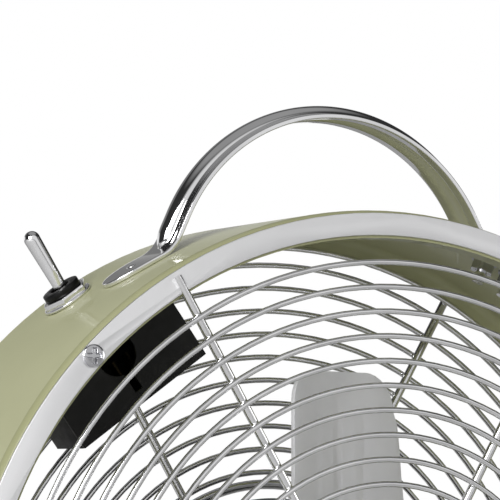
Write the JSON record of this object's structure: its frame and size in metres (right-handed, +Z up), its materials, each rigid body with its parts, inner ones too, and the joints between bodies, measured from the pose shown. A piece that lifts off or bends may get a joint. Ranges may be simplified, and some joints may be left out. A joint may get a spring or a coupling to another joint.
{
  "type": "drum desk fan",
  "caption": "Short painted drum desk fan with a wire grille at each end, a bladed rotor on a small motor, a toggle switch, a pressed carry handle and turned feet.",
  "frame": {"origin": "on the ground under the middle of the fan, centred on its width and depth", "axes": "+Z up, +X to the fan's right as seen from the front, +Y from the front grille to the rear; the fan axis runs along Y and the front faces -Y"},
  "size_m": [0.282, 0.0914, 0.3313],
  "materials": {
    "drum_paint": "gloss sage green paint",
    "trim_satin": "satin",
    "zinc_fasteners": "bright zinc",
    "zinc_sheet": "plain zinc-plated sheet",
    "chrome_wire": "bright chrome",
    "cap_chrome": "plain bright chrome",
    "motor_steel": "satin steel",
    "motor_paint": "satin black",
    "core_steel": "stacked sheet, dark",
    "copper_coil": "varnished copper",
    "bearing_bronze": "oiled bronze",
    "blade_aluminium": "satin",
    "hub_steel": "satin",
    "hub_nut_dark": "dark plated",
    "switch_black": "moulded black",
    "terminal_brass": "plain",
    "switch_chrome": "bright chrome",
    "collar_black": "black",
    "handle_chrome": "bright chrome",
    "leg_chrome": "bright chrome",
    "rubber_black": "black"
  },
  "bodies": {
    "housing": {"drum_shell": "drum_paint", "drum_front_hoop": "drum_paint", "drum_rear_hoop": "drum_paint", "front_trim_ring": "trim_satin", "trim_screws": "zinc_fasteners", "trim_clip_nuts": "zinc_sheet", "front_grille_rings": "chrome_wire", "front_grille_spokes": "chrome_wire", "grille_cap": "cap_chrome", "grille_clamp_plate": "zinc_sheet", "grille_cap_screw": "zinc_fasteners", "rear_grille_frame": "chrome_wire", "rear_grille_rings": "chrome_wire", "rear_grille_spokes": "chrome_wire", "rear_grille_clips": "zinc_sheet", "rear_grille_screws": "zinc_fasteners", "motor_mount_ring": "chrome_wire", "motor_plate": "motor_steel", "motor_front_bell": "motor_paint", "motor_rear_bell": "motor_paint", "stator_core": "core_steel", "stator_coils": "copper_coil", "front_bearing": "bearing_bronze", "rear_bearing": "bearing_bronze", "motor_bolts": "zinc_fasteners", "motor_plate_screws": "zinc_fasteners", "rear_bearing_cap": "motor_paint", "switch_box": "switch_black", "switch_box_lid": "switch_black", "toggle_body": "switch_black", "toggle_terminals": "terminal_brass", "toggle_bushing": "switch_chrome", "toggle_washer": "switch_chrome", "toggle_nut": "switch_chrome", "toggle_collar": "collar_black", "toggle_pin": "switch_chrome", "handle": "handle_chrome", "handle_washers": "zinc_sheet", "handle_nuts": "zinc_fasteners", "foot_legs": "leg_chrome", "foot_balls": "rubber_black", "foot_screws": "zinc_fasteners", "cord_grommet": "rubber_black"},
    "rotor": {"motor_shaft": "motor_steel", "rotor_core": "core_steel", "blade_hub": "hub_steel", "blade_1": "blade_aluminium", "blade_2": "blade_aluminium", "blade_3": "blade_aluminium", "blade_4": "blade_aluminium", "blade_rivets": "zinc_fasteners", "hub_nut": "hub_nut_dark"},
    "toggle": {"toggle_lever": "switch_chrome"}
  },
  "joints": [
    {"name": "rotor_spin", "type": "hinge", "parent": "housing", "child": "rotor", "pos_m": [0, -0.00925, 0.15522], "axis": [0, 1, 0], "continuous": true},
    {"name": "toggle_throw", "type": "hinge", "parent": "housing", "child": "toggle", "pos_m": [-0.08436, 0.01175, 0.27007], "axis": [0, 1, 0], "range_deg": [-15, 9]}
  ]
}
